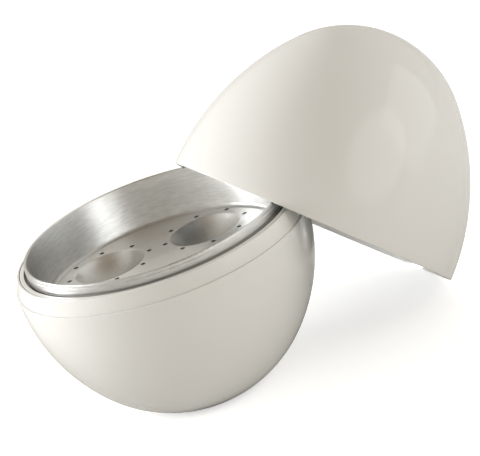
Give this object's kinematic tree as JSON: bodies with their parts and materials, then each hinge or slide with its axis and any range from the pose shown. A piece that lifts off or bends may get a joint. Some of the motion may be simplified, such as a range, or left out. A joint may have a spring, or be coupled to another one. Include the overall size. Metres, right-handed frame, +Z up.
{
  "type": "microwave egg cooker",
  "caption": "Egg-shaped microwave cooker, open: white plastic shells with aluminium linings, a tray with wells over a water bowl, and the lid leaning on the rim.",
  "frame": {"origin": "middle of the flat foot, on the table", "axes": "+Z up along the axis of the base; the lid leans at +X, turned a little towards +Y; -Y is the front"},
  "size_m": [0.2307, 0.1722, 0.1378],
  "materials": {
    "white_shell": "warm white, glossy, moulded",
    "white_collar": "warm white, glossy, moulded",
    "spun_bowl": "satin, brushed round its axis",
    "drawn_tray": "satin, fine even grain",
    "spun_dome": "satin, brushed round its axis"
  },
  "bodies": {
    "root": {"base_shell": "white_shell", "collar": "white_collar", "base_liner": "spun_bowl", "egg_tray": "drawn_tray", "lid_shell": "white_shell", "lid_ring": "white_collar", "lid_liner": "spun_dome"}
  },
  "joints": []
}
